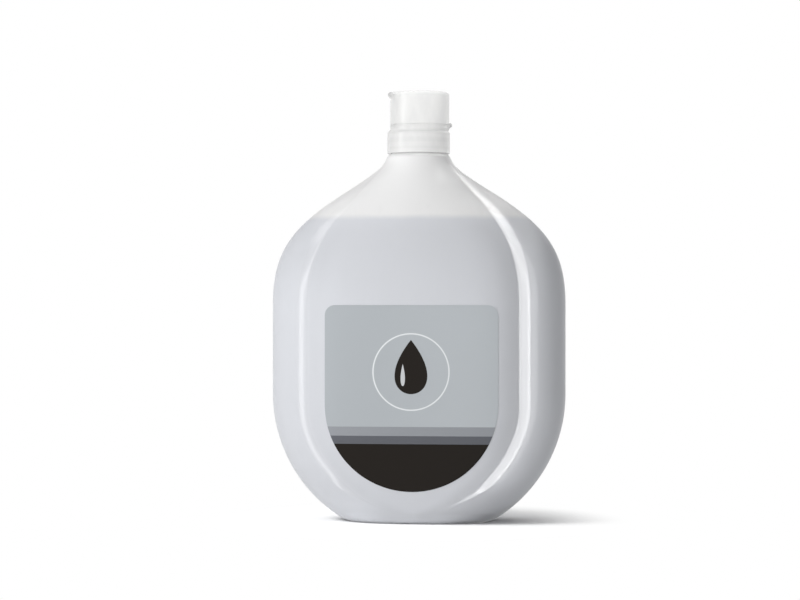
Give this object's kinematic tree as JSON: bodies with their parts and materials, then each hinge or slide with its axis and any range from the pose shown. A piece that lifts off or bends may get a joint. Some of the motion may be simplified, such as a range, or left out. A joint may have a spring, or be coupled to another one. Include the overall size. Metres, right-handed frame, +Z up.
{
  "type": "hand soap refill pack",
  "caption": "Flat translucent refill flask of hand soap gel with rounded shoulders, a film label on its front panel and a press-on flip-top closure with a pour spout.",
  "frame": {"origin": "middle of the base, on the surface that the pack stands on", "axes": "+Z up through the neck, -Y out of the label's face, +X towards the lid's hinge"},
  "size_m": [0.1496, 0.0616, 0.218],
  "materials": {
    "milky_plastic": "natural milky polyethylene, satin blow-moulded skin",
    "soap_gel": "clear gel with a pale lilac-grey tint",
    "label_film": "printed film label, satin",
    "closure_plastic": "natural translucent polypropylene, smooth"
  },
  "bodies": {
    "pack": {"bottle": "milky_plastic", "soap_gel": "soap_gel", "front_label": "label_film", "closure_base": "closure_plastic"},
    "lid": {"flip_lid": "closure_plastic"}
  },
  "joints": [
    {"name": "lid_hinge", "type": "hinge", "parent": "pack", "child": "lid", "pos_m": [0.01665, 0, 0.2014], "axis": [0, 1, 0], "range_deg": [0, 150]}
  ]
}
